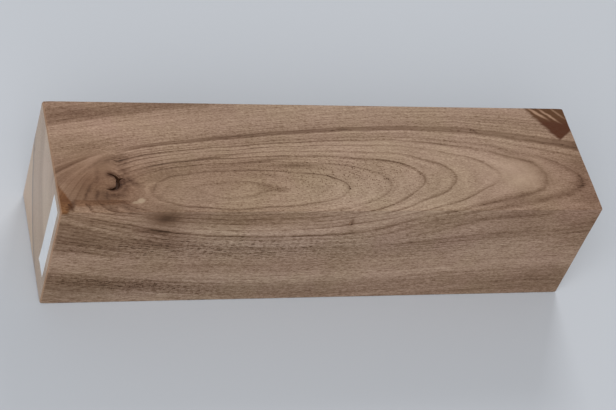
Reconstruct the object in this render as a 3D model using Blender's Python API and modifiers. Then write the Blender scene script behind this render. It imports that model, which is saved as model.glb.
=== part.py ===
"""A square wood turning blank, lying at rest on one of its long faces.

The blank is one sawn and planed billet of a dark hardwood, with its four long edges
just broken and the edges round its two ends eased a little more. On its upper face a
dead knot has shrunk away from the wood around it and left an open check, shaped like
a crescent. A strip of white paper tape is stuck on one end.

Everything is in metres. The origin is at the middle of the underside, X runs along
the grain with the taped end at -X, the knot lies on the +Z face, and -Y is the front.
"""

import math

import bmesh
import bpy

# The billet: a common sold size, 3 x 3 x 12 inches.
LENGTH = 0.3048
WIDTH = 0.0762
HEIGHT = 0.0762

# Rounding of the edges: hand sanding breaks the long edges, and eases the ends more.
LONG_EDGE_RADIUS = 0.0006
END_EDGE_RADIUS = 0.0012
EDGE_SEGMENTS = 4

# The knot: a socket in the wood, and the knot's core that has shrunk to one side of it.
KNOT_FROM_END = 0.0284
KNOT_FROM_FRONT = 0.0200
KNOT_SOCKET_RADIUS = 0.0054
KNOT_CORE_RADIUS = 0.0049
KNOT_CORE_SHIFT = 0.0014
KNOT_CORE_FLARE = 0.0005
CHECK_DEPTH = 0.0018
KNOT_SIDES = 64
CUTTER_OVERSHOOT = 0.0010

# The paper tape on the end, measured to its middle from the two nearest long edges.
LABEL_LENGTH = 0.0545
LABEL_WIDTH = 0.0120
LABEL_THICKNESS = 0.0002
LABEL_FROM_FRONT = 0.0110
LABEL_FROM_TOP = 0.0329
LABEL_TILT = math.radians(1.5)
LABEL_SEAT_GAP = 0.0003

WALNUT_COLOUR = (0.240, 0.165, 0.118, 1.0)
PAPER_COLOUR = (0.560, 0.600, 0.650, 1.0)


def clear_scene():
    """Removes what the file opens with, so that the script can be run again."""
    for scene_object in list(bpy.data.objects):
        bpy.data.objects.remove(scene_object, do_unlink=True)


def new_collection(name):
    collection = bpy.data.collections.new(name)
    bpy.context.scene.collection.children.link(collection)
    return collection


def plain_material(name, colour, roughness):
    """A Principled material of one colour; neither wood nor paper is metallic."""
    material = bpy.data.materials.new(name)
    material.use_nodes = True
    shader = material.node_tree.nodes["Principled BSDF"]
    shader.inputs["Base Color"].default_value = colour
    shader.inputs["Roughness"].default_value = roughness
    shader.inputs["Metallic"].default_value = 0.0
    return material


def add_object(name, solid, collection, material=None):
    """Makes a named object from a bmesh, whose size is already real, and frees the bmesh."""
    mesh = bpy.data.meshes.new(name)
    solid.to_mesh(mesh)
    solid.free()
    if material is not None:
        mesh.materials.append(material)
    made = bpy.data.objects.new(name, mesh)
    collection.objects.link(made)
    return made


def box(size_x, size_y, size_z):
    """A box about the origin."""
    solid = bmesh.new()
    bmesh.ops.create_cube(solid, size=1.0)
    bmesh.ops.scale(solid, verts=solid.verts, vec=(size_x, size_y, size_z))
    return solid


def cone(bottom_radius, top_radius, depth):
    """A closed cone or cylinder about the origin, standing along Z."""
    solid = bmesh.new()
    bmesh.ops.create_cone(
        solid,
        cap_ends=True,
        segments=KNOT_SIDES,
        radius1=bottom_radius,
        radius2=top_radius,
        depth=depth,
    )
    return solid


def mark_edges_for_rounding(mesh):
    """Gives every edge of the box its bevel weight: 1 round the ends, less along the grain."""
    weights = mesh.attributes.new("bevel_weight_edge", "FLOAT", "EDGE")
    for edge in mesh.edges:
        first, second = (mesh.vertices[index].co for index in edge.vertices)
        runs_along_grain = abs(first.x - second.x) > LENGTH / 2
        share = LONG_EDGE_RADIUS / END_EDGE_RADIUS if runs_along_grain else 1.0
        weights.data[edge.index].value = share


def subtract(target, cutter, name):
    cut = target.modifiers.new(name, "BOOLEAN")
    cut.operation = "DIFFERENCE"
    cut.solver = "EXACT"
    cut.object = cutter


def hide_helper(helper):
    helper.hide_render = True
    helper.display_type = "WIRE"


def core_radius(depth_below_face):
    """The knot's core is a cone that widens downwards, by its flare at the check's floor."""
    return KNOT_CORE_RADIUS + KNOT_CORE_FLARE * depth_below_face / CHECK_DEPTH


def knot_check_cutter(collection):
    """The open check as a cutter: the knot's socket, less the core that leans to the -X side.

    Both stand through the upper face. The core widens with depth, so that the check
    narrows towards its floor as a shrinkage check does.
    """
    depth = CHECK_DEPTH + CUTTER_OVERSHOOT
    centre_x = -LENGTH / 2 + KNOT_FROM_END
    centre_y = -WIDTH / 2 + KNOT_FROM_FRONT
    centre_z = HEIGHT + (CUTTER_OVERSHOOT - CHECK_DEPTH) / 2

    socket = add_object("knot_check_cutter", cone(KNOT_SOCKET_RADIUS, KNOT_SOCKET_RADIUS, depth), collection)
    socket.location = (centre_x, centre_y, centre_z)

    core_bottom = core_radius(CHECK_DEPTH + CUTTER_OVERSHOOT)
    core_top = core_radius(-2 * CUTTER_OVERSHOOT)
    core_solid = cone(core_bottom, core_top, depth + 2 * CUTTER_OVERSHOOT)
    core = add_object("knot_core_cutter", core_solid, collection)
    core.location = (centre_x - KNOT_CORE_SHIFT, centre_y, centre_z)

    subtract(socket, core, "leave_the_core")
    hide_helper(socket)
    hide_helper(core)
    return socket


def make_blank(parts, cutters):
    """The billet: a box at its real size, its edges rounded, and the knot's check cut in."""
    walnut = plain_material("sanded_walnut", WALNUT_COLOUR, 0.6)
    blank = add_object("blank", box(LENGTH, WIDTH, HEIGHT), parts, walnut)
    blank.location.z = HEIGHT / 2
    mark_edges_for_rounding(blank.data)

    rounding = blank.modifiers.new("eased_edges", "BEVEL")
    rounding.limit_method = "WEIGHT"
    rounding.offset_type = "OFFSET"
    rounding.width = END_EDGE_RADIUS
    rounding.segments = EDGE_SEGMENTS

    subtract(blank, knot_check_cutter(cutters), "knot_check")
    return blank


def make_end_label(parts, blank):
    """The strip of paper tape, seated on the -X end a hair off square to the edges."""
    paper = plain_material("label_paper", PAPER_COLOUR, 0.8)
    label = add_object("end_label", box(LABEL_THICKNESS, LABEL_WIDTH, LABEL_LENGTH), parts, paper)
    label.parent = blank
    label.location = (
        -LENGTH / 2 - LABEL_SEAT_GAP - LABEL_THICKNESS / 2,
        -WIDTH / 2 + LABEL_FROM_FRONT,
        HEIGHT / 2 - LABEL_FROM_TOP,
    )
    label.rotation_euler.x = LABEL_TILT
    return label


def main():
    clear_scene()
    parts = new_collection("wood_turning_blank")
    cutters = new_collection("cutters")
    blank = make_blank(parts, cutters)
    make_end_label(parts, blank)


main()
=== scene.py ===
# %% [markdown]
# # A walnut turning blank
# A turning blank is the square billet of wood that a turner buys before a bowl, a vase or a
# table leg exists. This one looks like black walnut, and is three inches square and a foot
# long. It was sawn, planed and lightly sanded, and has one knot and a strip of paper tape.
# The CAD model already has its true size, its eased edges and the open check of the knot.
# This lesson dresses that model: a finer mesh, a solid wood that is cut by every face at
# once, and a paper that is a little less than flat.

import math

import bmesh
import bpy
from mathutils import Matrix, Vector, noise


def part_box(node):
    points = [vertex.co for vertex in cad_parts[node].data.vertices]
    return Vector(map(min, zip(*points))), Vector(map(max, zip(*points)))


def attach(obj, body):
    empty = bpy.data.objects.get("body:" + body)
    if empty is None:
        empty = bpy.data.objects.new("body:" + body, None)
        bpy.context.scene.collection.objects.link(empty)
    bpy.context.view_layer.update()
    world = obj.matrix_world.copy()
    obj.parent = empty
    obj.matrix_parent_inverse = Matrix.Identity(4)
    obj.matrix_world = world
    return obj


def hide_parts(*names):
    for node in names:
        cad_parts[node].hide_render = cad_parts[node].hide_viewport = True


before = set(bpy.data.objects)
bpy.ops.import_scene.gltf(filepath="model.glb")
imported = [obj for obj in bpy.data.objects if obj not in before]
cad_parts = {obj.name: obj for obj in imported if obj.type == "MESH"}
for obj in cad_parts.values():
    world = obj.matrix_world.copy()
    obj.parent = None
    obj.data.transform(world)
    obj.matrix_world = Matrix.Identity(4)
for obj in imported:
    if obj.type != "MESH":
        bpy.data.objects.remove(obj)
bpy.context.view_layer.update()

MM = 0.001
BLANK_LOW, BLANK_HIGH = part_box("blank")
LABEL_LOW, LABEL_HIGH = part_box("end_label")
LENGTH = BLANK_HIGH.x - BLANK_LOW.x
WIDTH = BLANK_HIGH.y - BLANK_LOW.y
HEIGHT = BLANK_HIGH.z - BLANK_LOW.z
print(f"The blank is {LENGTH / MM:.1f} x {WIDTH / MM:.1f} x {HEIGHT / MM:.1f} mm")

# %% [markdown]
# ## Where things are on the wood
# A woodworker marks a board with a rule from its end and from its edge. The same habit keeps
# this lesson readable: every knot and streak is named by millimetres from the taped end, and
# by millimetres from the back edge of the top face or down the front face. The shaders work
# in those millimetres too, with x along the grain from the taped end, y across from the
# middle towards the back, and z up from the top face, so that wood lies at z below zero.

# %% Name places by a rule laid on the wood
HALF_WIDTH_MM = WIDTH / MM / 2
LENGTH_MM = LENGTH / MM


def on_top(from_end, from_back):
    """A place on the top face, in the wood's own millimetres."""
    return (from_end, HALF_WIDTH_MM - from_back, 0.0)


def on_front(from_end, below_top):
    """A place on the front face, in the wood's own millimetres."""
    return (from_end, -HALF_WIDTH_MM, -below_top)


def in_scene(place):
    """Turns the wood's own millimetres into the frame's metres."""
    x, y, z = place
    return Vector((BLANK_LOW.x + x * MM, y * MM, BLANK_HIGH.z + z * MM))


KNOT = on_top(28.4, 56.2)
print("The knot's middle is at", [round(value, 4) for value in in_scene(KNOT)])

# %% [markdown]
# ## The camera
# The photograph looks down on the blank from the front and a little from the left, from
# nearly a metre away, and the camera was held askew. The seven corners that the photograph
# shows were enough to work back to the lens, the place and the tilt, so the camera is simply
# set there. It looks along its own -Z, and `to_track_quat` turns it to the aim; the tilt is
# one more turn about that line of sight.

# %% Set up the camera
CAMERA_PLACE = Vector((-0.3249, -0.5976, 0.7519))
CAMERA_AIM = Vector((-0.0026, -0.0008, 0.0362))
CAMERA_TILT = math.radians(21.155)
CAMERA_LENS_MM = 103.58

camera_data = bpy.data.cameras.new("camera")
camera_data.lens = CAMERA_LENS_MM
camera_data.sensor_width = 36.0
camera_data.clip_start = 0.01
camera = bpy.data.objects.new("camera", camera_data)
bpy.context.scene.collection.objects.link(camera)
sight = CAMERA_AIM - CAMERA_PLACE
turn = sight.to_track_quat("-Z", "Y").to_matrix().to_4x4()
camera.matrix_world = (
    Matrix.Translation(CAMERA_PLACE) @ turn @ Matrix.Rotation(CAMERA_TILT, 4, "Z")
)
bpy.context.scene.camera = camera
print(f"The camera is {sight.length:.3f} m from the middle of the blank")

# %% [markdown]
# ## Light and floor
# The blank lies on a pale, faintly blue sheet under soft light, and its shadow is barely
# there. An even sky gives most of that, since it fills every shadow. One broad lamp at the
# front left makes the top face the lightest, and a weaker one behind it gives the sheet its
# slow fall from light at the back to grey at the front. Together they add up to one on the
# top face, so a colour renders about as it is written.

# %% Light the sky and hang the lamps
SKY_STRENGTH = 0.33

world = bpy.data.worlds.new("soft_sky")
world.use_nodes = True
sky = world.node_tree.nodes["Background"]
sky.inputs["Color"].default_value = (1.0, 1.0, 1.0, 1.0)
sky.inputs["Strength"].default_value = SKY_STRENGTH
bpy.context.scene.world = world
bpy.context.scene.view_settings.view_transform = "Standard"


def hang_lamp(name, place, size, watts):
    """Hangs a square soft lamp that faces the blank."""
    data = bpy.data.lights.new(name, "AREA")
    data.shape = "SQUARE"
    data.size = size
    data.energy = watts
    lamp = bpy.data.objects.new(name, data)
    lamp.location = place
    towards_blank = Vector((0.0, 0.0, HEIGHT / 2)) - Vector(place)
    lamp.rotation_euler = towards_blank.to_track_quat("-Z", "Y").to_euler()
    bpy.context.scene.collection.objects.link(lamp)
    print(f"{name}: {watts} W from a square of {size} m")


hang_lamp("front_left_lamp", place=(-0.78, -1.23, 1.37), size=1.7, watts=31.8)
hang_lamp("back_lamp", place=(0.5, 1.3, 1.15), size=0.6, watts=11.3)

# %% Lay the floor
FLOOR_COLOUR = (0.545, 0.573, 0.616, 1.0)
FLOOR_SIZE = 6.0
FLOOR_DROP = 0.0002

floor_shape = bmesh.new()
bmesh.ops.create_grid(floor_shape, x_segments=1, y_segments=1, size=FLOOR_SIZE / 2)
floor_mesh = bpy.data.meshes.new("floor")
floor_shape.to_mesh(floor_mesh)
floor_shape.free()
floor = bpy.data.objects.new("floor", floor_mesh)
floor.location.z = -FLOOR_DROP
bpy.context.scene.collection.objects.link(floor)

floor_finish = bpy.data.materials.new("pale_backing_sheet")
floor_finish.use_nodes = True
floor_shader = floor_finish.node_tree.nodes["Principled BSDF"]
floor_shader.inputs["Base Color"].default_value = FLOOR_COLOUR
floor_shader.inputs["Roughness"].default_value = 0.9
floor_shader.inputs["Specular IOR Level"].default_value = 0.2
floor.data.materials.append(floor_finish)

# %% [markdown]
# ## Sums written in nodes
# A shader is a tree of small sums, and a sum is easier to read as a line of Python than as
# eight wired boxes. The class below holds one output of a node. Python's own signs add the
# Math node that they stand for, so `a * 2.0 + b` makes two nodes and links them.

# %% Wire nodes together
def feed(socket, value):
    """Gives an input its value: another node's output, or a plain number, vector or colour."""
    if isinstance(value, Term):
        value = value.socket
    if isinstance(value, bpy.types.NodeSocket):
        socket.id_data.links.new(value, socket)
    else:
        socket.default_value = value


def add_node(tree, kind, inputs=None, **settings):
    """Adds a node with its settings, and feeds the inputs that are named or numbered."""
    node = tree.nodes.new(kind)
    for setting, value in settings.items():
        setattr(node, setting, value)
    for key, value in (inputs or {}).items():
        feed(node.inputs[key], value)
    return node


# %% Do sums with Python's signs
class Term:
    """A number that changes over the wood, and that Python's signs can do sums with."""

    def __init__(self, socket):
        self.socket = socket

    def maths(self, operation, *others):
        """Adds a Math node that takes this number first."""
        inputs = dict(enumerate((self, *others)))
        node = add_node(self.socket.id_data, "ShaderNodeMath", inputs, operation=operation)
        return Term(node.outputs[0])

    def __add__(self, other):
        return self.maths("ADD", other)

    def __sub__(self, other):
        return self.maths("SUBTRACT", other)

    def __mul__(self, other):
        return self.maths("MULTIPLY", other)

    def __truediv__(self, other):
        return self.maths("DIVIDE", other)

    def __pow__(self, other):
        return self.maths("POWER", other)

    def flipped(self):
        """One less this number: a mask turned inside out."""
        return self * -1.0 + 1.0


# %% Write the other nodes as functions
def rise(value, start, end):
    """A smooth step from 0 at start to 1 at end."""
    tree = value.socket.id_data
    inputs = {"Value": value, "From Min": start, "From Max": end}
    node = add_node(tree, "ShaderNodeMapRange", inputs, interpolation_type="SMOOTHSTEP")
    return Term(node.outputs["Result"])


def vector_of(tree, x, y, z):
    """Three numbers side by side, for a texture to read."""
    return Term(add_node(tree, "ShaderNodeCombineXYZ", {"X": x, "Y": y, "Z": z}).outputs[0])


def parts_of(vector):
    """The x, y and z of a vector."""
    node = add_node(vector.socket.id_data, "ShaderNodeSeparateXYZ", {"Vector": vector})
    return [Term(output) for output in node.outputs]


def vector_maths(vector, operation, other, output="Vector"):
    """Adds a Vector Math node that takes this vector first."""
    inputs = {0: vector, 1: other}
    node = add_node(vector.socket.id_data, "ShaderNodeVectorMath", inputs, operation=operation)
    return Term(node.outputs[output])


def blend(tree, factor, under, over, how="MIX"):
    """Lays one colour over another by a mask."""
    inputs = {"Factor": factor, 6: under, 7: over}
    node = add_node(tree, "ShaderNodeMix", inputs, data_type="RGBA", blend_type=how)
    return Term(node.outputs[2])


def ramp(value, stops):
    """A colour ramp whose stops are given in the value's own units."""
    tree = value.socket.id_data
    low, high = stops[0][0], stops[-1][0]
    share = (value - low) / (high - low)
    node = add_node(tree, "ShaderNodeValToRGB", {"Fac": share})
    elements = node.color_ramp.elements
    while len(elements) < len(stops):
        elements.new(0.5)
    for element, (place, colour) in zip(elements, stops):
        element.position = (place - low) / (high - low)
        element.color = (*colour, 1.0) if isinstance(colour, tuple) else (colour,) * 3 + (1.0,)
    return Term(node.outputs["Color"])


# %% [markdown]
# ## Groups: one tool for many materials
# A node group is a box of nodes with named sockets. Whatever more than one place needs is
# built once as a group and used again with other values, like a jig on a bench. The helper
# below opens a new group and hands back its inputs as numbers ready for sums.

# %% Open and use a node group
SOCKET_KINDS = {"number": "NodeSocketFloat", "vector": "NodeSocketVector"}
MOST_COLUMNS = 60
COLUMN_STEP = 220
ROW_STEP = 190


def open_group(name, inputs, outputs):
    """Starts a group; inputs and outputs are given as {name: kind}."""
    tree = bpy.data.node_groups.new(name, "ShaderNodeTree")
    for socket_name, kind in inputs.items():
        tree.interface.new_socket(socket_name, in_out="INPUT", socket_type=SOCKET_KINDS[kind])
    for socket_name, kind in outputs.items():
        tree.interface.new_socket(socket_name, in_out="OUTPUT", socket_type=SOCKET_KINDS[kind])
    entry = tree.nodes.new("NodeGroupInput")
    given = {socket_name: Term(entry.outputs[socket_name]) for socket_name in inputs}
    result = tree.nodes.new("NodeGroupOutput")
    return tree, given, result


def use_group(tree, group, inputs):
    """Places a group in a tree, and returns its outputs by name."""
    node = add_node(tree, "ShaderNodeGroup", node_tree=group)
    for socket_name, value in inputs.items():
        feed(node.inputs[socket_name], value)
    return {output.name: Term(output) for output in node.outputs}


def set_out_in_columns(tree):
    """Places each node one column to the right of the nodes that feed it."""
    column = {node: 0 for node in tree.nodes}
    for _ in range(MOST_COLUMNS):
        for link in tree.links:
            next_column = min(column[link.from_node] + 1, MOST_COLUMNS)
            column[link.to_node] = max(column[link.to_node], next_column)
    filled = {}
    for node in tree.nodes:
        row = filled.get(column[node], 0)
        node.location = (column[node] * COLUMN_STEP, -row * ROW_STEP)
        filled[column[node]] = row + 1


# %% [markdown]
# ## A soft spot in the wood
# Stains, knots and lighter patches are not painted on the face. Each is a cloud inside the
# wood that the saw happened to open, so it runs on round the corner and down the side. The
# first group gives 1 at a centre and fades like a bell with distance, with its own reach along
# x, y and z. The second is a bell drawn out along a line that leans away from the grain, as a
# smear or a short streak does. A harder edge comes from a smooth step on the same bell.

# %% Build the two spot groups
def build_soft_spot():
    """A bell round a centre, with its own reach in x, y and z."""
    tree, given, result = open_group(
        "Soft spot",
        {"Place": "vector", "Centre": "vector", "Reach": "vector"},
        {"Bell": "number"},
    )
    offset = vector_maths(given["Place"], "SUBTRACT", given["Centre"])
    scaled = vector_maths(offset, "DIVIDE", given["Reach"])
    squared = vector_maths(scaled, "DOT_PRODUCT", scaled, output="Value")
    feed(result.inputs["Bell"], (squared * -1.0).maths("EXPONENT"))
    set_out_in_columns(tree)
    return tree


def build_slanted_spot():
    """A bell that is long in one direction and thin across it."""
    tree, given, result = open_group(
        "Slanted spot",
        {
            "Place": "vector",
            "Centre": "vector",
            "Direction": "vector",
            "Half length": "number",
            "Half width": "number",
        },
        {"Bell": "number"},
    )
    offset = vector_maths(given["Place"], "SUBTRACT", given["Centre"])
    squared = vector_maths(offset, "DOT_PRODUCT", offset, output="Value")
    down_line = vector_maths(offset, "DOT_PRODUCT", given["Direction"], output="Value")
    off_line = squared - down_line * down_line
    down_line = down_line / given["Half length"]
    far = down_line * down_line + off_line / (given["Half width"] * given["Half width"])
    feed(result.inputs["Bell"], (far * -1.0).maths("EXPONENT"))
    set_out_in_columns(tree)
    return tree


SOFT_SPOT = build_soft_spot()
SLANTED_SPOT = build_slanted_spot()
print("Groups built:", SOFT_SPOT.name, "and", SLANTED_SPOT.name)


# %% Use the spots
def soft_spot(place, centre, reach):
    """The bell of one spot, as a number from 0 to 1."""
    inputs = {"Place": place, "Centre": centre, "Reach": reach}
    return use_group(place.socket.id_data, SOFT_SPOT, inputs)["Bell"]


def slanted_spot(place, centre, lean, half_length, half_width):
    """A long bell that leans away from the grain by some degrees: backwards, or up the front."""
    run, climb = math.cos(math.radians(lean)), math.sin(math.radians(lean))
    direction = (run, 0.0, climb) if centre[2] < 0.0 else (run, climb, 0.0)
    inputs = {
        "Place": place,
        "Centre": centre,
        "Direction": direction,
        "Half length": half_length,
        "Half width": half_width,
    }
    return use_group(place.socket.id_data, SLANTED_SPOT, inputs)["Bell"]


def strongest_mark(place, rows, face):
    """The strongest of many slanted spots, whose places are read by one face's rule."""
    strongest = None
    for from_end, across, lean, half_length, half_width, strength in rows:
        centre = face(from_end, across)
        mark = slanted_spot(place, centre, lean, half_length, half_width) * strength
        strongest = mark if strongest is None else strongest.maths("MAXIMUM", mark)
    return strongest


# %% [markdown]
# ## Growth rings as distances
# A tree lays down each year's wood round the pith, so a ring is all the wood at one distance
# from it. The saw cut this blank beside the pith, with the bark side down, and the pith runs
# above the top face in a slow bend: lowest a quarter of the way along, and higher towards
# both ends. That bend makes the nested ovals of the top face, the long lines of the front
# and the arcs of the ends. The ring distance here is the distance to the bent pith, wider on
# one side because the tree leaned, with a few gentle swells in its growth. On the taped side
# of the knot the branch's own years show as a fan of rays, so there the ring distance gives
# way to the angle about the fan's apex, as far as the mask Bent says. Arc is how far round
# the pith a place lies.

# %% Give the pith its path and the tree its lean
PITH_ASIDE_MM = (-12.1, 21.5, -8.3, -5.5)
PITH_ABOVE_MM = (29.1, 19.2, 19.8, -4.0, -6.3)
LEAN_ASIDE = 0.17
LEAN_DOWN = 0.22
LEAN_DOWN_GAIN = 0.13
GROWTH_SWELLS = (
    ((0, -35, -2), (14, 8, 8), 3.0),
    ((31, -41, -5), (118, 17, 17), 9.0),
    ((65, -23, 9), (50, 37, 37), -9.0),
    ((137, -33, 8), (58, 22, 22), -9.0),
    ((198, -40, -29), (101, 17, 17), -9.0),
    ((290, -46, -18), (52, 17, 17), -9.0),
    ((268, -3, 0), (9, 5, 8), -0.5),
    ((268, -23, 0), (9, 5, 8), -0.6),
)
FAN_APEX = on_top(33.3, 35.0)
FAN_RING_LEFT = 49.25
FAN_MM_PER_DEGREE = 0.55
FAN_CURVE = 0.27
FAN_ARC_SHARE = 0.15
# Where the fan fades in: from the right, across its rays, from the front edge and from below.
FAN_FROM_RIGHT_MM = (35.0, 15.0)
FAN_ACROSS_RAYS = (12.0, -16.0)
FAN_FROM_FRONT_MM = (-32.9, -30.4)
FAN_FROM_BELOW_MM = (-16.0, -5.0)
ARC_RADIUS_MM = 50.0


def along_a_curve(share, powers):
    """A bend whose numbers are, in turn, the middle's place, its slope, its hollow and so on."""
    total = powers[-1]
    for number in reversed(powers[:-1]):
        total = share * total + number
    return total


for end_name, share in (("taped end", -1.0), ("middle", 0.0), ("far end", 1.0)):
    pith_aside = along_a_curve(share, PITH_ASIDE_MM)
    pith_above = along_a_curve(share, PITH_ABOVE_MM)
    print(f"At the {end_name} the pith is {pith_above:.0f} mm above and {pith_aside:.0f} mm aside")


# %% Build the growth ring group
def build_growth_rings():
    """How far from the pith each place lies, and how far round it."""
    tree, given, result = open_group(
        "Growth rings",
        {"Place": "vector"},
        {"Ring": "number", "Arc": "number", "Bent": "number"},
    )
    x, y, z = parts_of(given["Place"])
    share = x / (LENGTH_MM / 2) - 1.0
    aside = y - along_a_curve(share, PITH_ASIDE_MM)
    above = z - along_a_curve(share, PITH_ABOVE_MM)
    ring = (aside * aside + above * above) ** 0.5
    ring = ring + aside * LEAN_ASIDE + above * (share * LEAN_DOWN_GAIN + LEAN_DOWN)
    for centre, reach, height in GROWTH_SWELLS:
        ring = ring + soft_spot(given["Place"], centre, reach) * height
    left_of_apex = x * -1.0 + FAN_APEX[0]
    before_apex = y * -1.0 + FAN_APEX[1]
    reach = (left_of_apex * left_of_apex + before_apex * before_apex) ** 0.5
    angle = before_apex.maths("ARCTAN2", left_of_apex) * (180.0 / math.pi)
    turned = reach * FAN_CURVE - angle
    fan = turned * FAN_MM_PER_DEGREE + FAN_RING_LEFT
    above_seam = rise(y, *FAN_FROM_FRONT_MM) * rise(z, *FAN_FROM_BELOW_MM)
    in_fan = rise(x, *FAN_FROM_RIGHT_MM) * rise(turned, *FAN_ACROSS_RAYS) * above_seam
    arc = aside.maths("ARCTAN2", above * -1.0) * ARC_RADIUS_MM
    feed(result.inputs["Bent"], in_fan)
    feed(result.inputs["Ring"], ring + (fan - ring) * in_fan)
    feed(result.inputs["Arc"], arc + (reach * FAN_ARC_SHARE - arc) * in_fan)
    set_out_in_columns(tree)
    return tree


GROWTH_RINGS = build_growth_rings()
print(f"Group built: {GROWTH_RINGS.name}, with {len(GROWTH_RINGS.nodes)} nodes")

# %% [markdown]
# ## The tone of each year's wood
# Walnut darkens slowly through a season and stops at a thin dark line, and whole years differ
# too. Reading outwards from the pith, the years near the crown are pale, a darker band
# crosses at 42 mm, a wide pale zone follows, and the wood turns dark again at 73 mm. Past
# 100 mm the saw reached the pale sapwood. One ramp holds the slow changes. The thin lines
# need more stops than a ramp may have, so they go ten at a time: one ramp has a peak at each
# line, with its own fade on the inner and outer side, and another holds their depths. A
# power sharpens the peaks along the crown, where the rings lie nearly level with the face
# and would look wide, and Line strength makes them fainter or bolder from place to place.

# %% List the years from the pith outwards
YEAR_TONES = (
    (10.0, 0.98),
    (20.0, 1.04),
    (26.0, 1.10),
    (30.0, 1.24),
    (33.6, 1.20),
    (34.8, 1.06),
    (38.3, 1.04),
    (39.2, 1.12),
    (39.9, 1.00),
    (41.0, 0.97),
    (42.2, 0.96),
    (43.4, 0.98),
    (44.6, 1.00),
    (50.0, 1.04),
    (57.0, 1.14),
    (67.0, 1.16),
    (69.0, 1.02),
    (71.5, 0.88),
    (73.5, 0.80),
    (77.0, 0.80),
    (80.0, 0.90),
    (84.0, 0.96),
    (87.0, 1.00),
    (92.0, 0.96),
    (99.6, 0.92),
    (100.4, 1.30),
    (132.0, 1.36),
)
# Each dark line: its distance from the pith, its depth, and its inner and outer fade, in mm.
YEAR_LINES = (
    (13.7, 0.26, 0.9, 0.3),
    (16.0, 0.12, 0.8, 0.2),
    (18.1, 0.46, 0.9, 0.3),
    (20.4, 0.14, 0.8, 0.2),
    (22.8, 0.36, 0.9, 0.3),
    (24.2, 0.10, 0.7, 0.2),
    (26.1, 0.46, 1.0, 0.3),
    (28.8, 0.40, 0.8, 0.3),
    (30.4, 0.06, 0.5, 0.2),
    (31.9, 0.40, 0.7, 0.3),
    (34.6, 0.46, 1.0, 0.4),
    (36.3, 0.24, 0.8, 0.35),
    (38.4, 0.18, 0.5, 0.25),
    (40.7, 0.20, 0.8, 0.6),
    (42.4, 0.22, 0.5, 0.3),
    (43.9, 0.14, 0.5, 0.3),
    (45.3, 0.22, 0.6, 0.3),
    (46.9, 0.12, 0.5, 0.3),
    (48.3, 0.18, 0.6, 0.3),
    (49.8, 0.14, 0.5, 0.3),
    (51.9, 0.12, 0.6, 0.4),
    (56.0, 0.08, 0.6, 0.4),
    (61.0, 0.08, 0.7, 0.5),
    (66.8, 0.07, 0.7, 0.5),
    (69.9, 0.18, 0.7, 0.5),
    (72.4, 0.16, 1.2, 0.6),
    (75.9, 0.14, 0.8, 0.5),
    (77.9, 0.16, 0.9, 0.6),
    (82.0, 0.14, 1.0, 0.5),
    (87.7, 0.15, 0.8, 0.5),
    (91.1, 0.17, 0.8, 0.5),
    (95.4, 0.12, 0.9, 0.5),
    (99.9, 0.34, 1.5, 1.0),
    (107.0, 0.10, 1.0, 0.5),
    (115.0, 0.10, 1.0, 0.5),
    (124.0, 0.10, 1.0, 0.5),
)
# How open the wood's pores are at each distance from the pith.
YEAR_PORES = (
    (10.0, 0.70),
    (24.0, 0.85),
    (28.0, 0.55),
    (33.0, 0.45),
    (35.0, 0.90),
    (40.0, 1.00),
    (50.0, 1.00),
    (55.0, 0.75),
    (68.0, 0.70),
    (74.0, 1.00),
    (92.0, 1.00),
    (100.0, 0.40),
    (132.0, 0.40),
)
LINES_PER_RAMP = 10
print(f"{len(YEAR_LINES)} dark lines from {YEAR_LINES[0][0]} to {YEAR_LINES[-1][0]} mm")


# %% Build the year tone group
def line_ramps(ring, lines):
    """One ramp with a peak of 1 at each line, and one that holds the lines' depths."""
    peaks = [(lines[0][0] - lines[0][2] - 1.0, 0.0)]
    depths = []
    for place, depth, inner, outer in lines:
        peaks.append((max(place - inner, peaks[-1][0] + 0.02), 0.0))
        peaks.append((place, 1.0))
        peaks.append((place + outer, 0.0))
        depths.append((place, depth))
    return ramp(ring, peaks), ramp(ring, depths)


def build_year_tones():
    """The tone at each ring distance, its dark lines and how open its pores are."""
    tree, given, result = open_group(
        "Year tones",
        {"Ring": "number", "Line strength": "number", "Sharpness": "number"},
        {"Tone": "number", "Line": "number", "Porous": "number"},
    )
    ring = given["Ring"]
    lines = None
    for start in range(0, len(YEAR_LINES), LINES_PER_RAMP):
        peaks, depths = line_ramps(ring, YEAR_LINES[start : start + LINES_PER_RAMP])
        batch = peaks ** given["Sharpness"] * depths
        lines = batch if lines is None else lines + batch
    lines = lines * given["Line strength"]
    # A ramp's colours stop at 1, so the tones go in halved.
    slow = ramp(ring, [(place, tone / 2.0) for place, tone in YEAR_TONES]) * 2.0
    feed(result.inputs["Tone"], slow * lines.flipped())
    feed(result.inputs["Line"], lines)
    feed(result.inputs["Porous"], ramp(ring, YEAR_PORES))
    set_out_in_columns(tree)
    return tree


YEAR_TONE = build_year_tones()
print(f"Group built: {YEAR_TONE.name}, with {len(YEAR_TONE.nodes)} nodes")

# %% [markdown]
# ## Pores and streaks that follow the fibres
# Under a lens walnut is full of open pores: tubes a quarter of a millimetre wide and several
# long. A face that runs along them shows dashes, and one that cuts them at a slant shows
# dots. Both groups take a place as a course: how far it is along the grain, outwards and
# around. Streaks that belong to the years take the ring distance as outwards, so they bend
# with the rings; pores and the finest streaks run straight down the billet. A Voronoi
# texture scatters one tube in each of its cells; a stretched noise makes the streaks.

# %% Build the pore and streak groups
COURSE = {"Along": "number", "Outwards": "number", "Around": "number"}
THINNEST_TUBE = 0.04
TUBE_RANGE = 0.36


def cells_along(given, length, width):
    """The place in the wood, counted in cells that are long with the fibres and thin across."""
    tree = given["Along"].socket.id_data
    return vector_of(
        tree, given["Along"] / length, given["Outwards"] / width, given["Around"] / width
    )


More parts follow.
